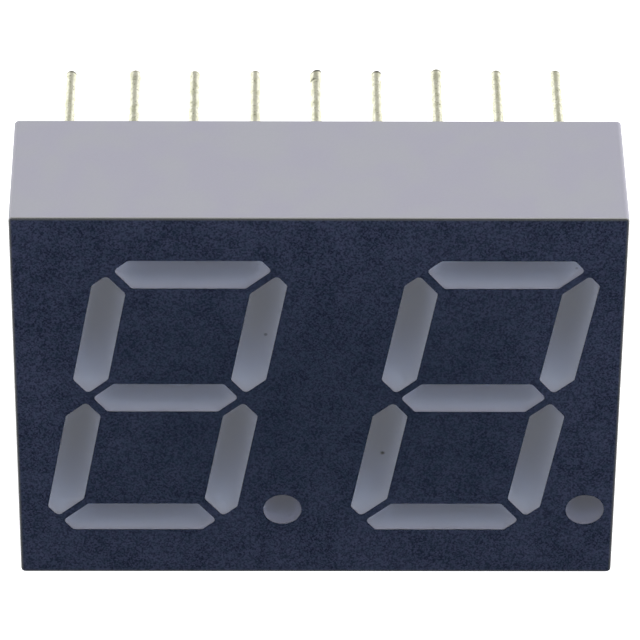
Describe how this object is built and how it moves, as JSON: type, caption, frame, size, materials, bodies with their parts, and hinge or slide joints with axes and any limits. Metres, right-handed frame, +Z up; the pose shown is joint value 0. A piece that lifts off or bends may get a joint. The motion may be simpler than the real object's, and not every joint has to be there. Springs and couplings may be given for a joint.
{
  "type": "seven segment display",
  "caption": "Two digit seven segment display with leaning digits and decimal points in a flat moulded body, with two rows of through-hole pins.",
  "frame": {"origin": "on the bottom side's plane, under the middle of the width and of the whole depth with the pins", "axes": "+X to the right across the face, +Y back along the pins, +Z up the digits; the face looks along -Y"},
  "size_m": [0.025, 0.0126, 0.0187],
  "materials": {
    "housing_plastic": "moulded light grey, satin",
    "face_ink": "matte dark navy grey ink",
    "lens_resin": "milky grey cast resin, satin surface",
    "seal_resin": "milky grey poured resin, glossy",
    "lamp_chip": "sawn semiconductor",
    "silver_glue": "silver filled glue",
    "bond_wire": "bright gold wire",
    "board": "green coated glass epoxy board",
    "copper": "copper, dull",
    "solder": "solder, bright grey",
    "tinned_wire": "solder dipped, uneven satin"
  },
  "bodies": {
    "root": {"housing": "housing_plastic", "face_ink": "face_ink", "digit_1_bar_a": "lens_resin", "digit_1_bar_b": "lens_resin", "digit_1_bar_c": "lens_resin", "digit_1_bar_d": "lens_resin", "digit_1_bar_e": "lens_resin", "digit_1_bar_f": "lens_resin", "digit_1_bar_g": "lens_resin", "digit_1_point": "lens_resin", "digit_2_bar_a": "lens_resin", "digit_2_bar_b": "lens_resin", "digit_2_bar_c": "lens_resin", "digit_2_bar_d": "lens_resin", "digit_2_bar_e": "lens_resin", "digit_2_bar_f": "lens_resin", "digit_2_bar_g": "lens_resin", "digit_2_point": "lens_resin", "digit_1_chip_a": "lamp_chip", "digit_1_chip_b": "lamp_chip", "digit_1_chip_c": "lamp_chip", "digit_1_chip_d": "lamp_chip", "digit_1_chip_e": "lamp_chip", "digit_1_chip_f": "lamp_chip", "digit_1_chip_g": "lamp_chip", "digit_1_chip_point": "lamp_chip", "digit_2_chip_a": "lamp_chip", "digit_2_chip_b": "lamp_chip", "digit_2_chip_c": "lamp_chip", "digit_2_chip_d": "lamp_chip", "digit_2_chip_e": "lamp_chip", "digit_2_chip_f": "lamp_chip", "digit_2_chip_g": "lamp_chip", "digit_2_chip_point": "lamp_chip", "chip_glue": "silver_glue", "bond_wires": "bond_wire", "circuit_board": "board", "front_tracks": "copper", "rear_tracks": "copper", "solder_joints": "solder", "rear_seal": "seal_resin", "pin_1": "tinned_wire", "pin_2": "tinned_wire", "pin_3": "tinned_wire", "pin_4": "tinned_wire", "pin_5": "tinned_wire", "pin_6": "tinned_wire", "pin_7": "tinned_wire", "pin_8": "tinned_wire", "pin_9": "tinned_wire", "pin_10": "tinned_wire", "pin_11": "tinned_wire", "pin_12": "tinned_wire", "pin_13": "tinned_wire", "pin_14": "tinned_wire", "pin_15": "tinned_wire", "pin_16": "tinned_wire", "pin_17": "tinned_wire", "pin_18": "tinned_wire"}
  },
  "joints": []
}
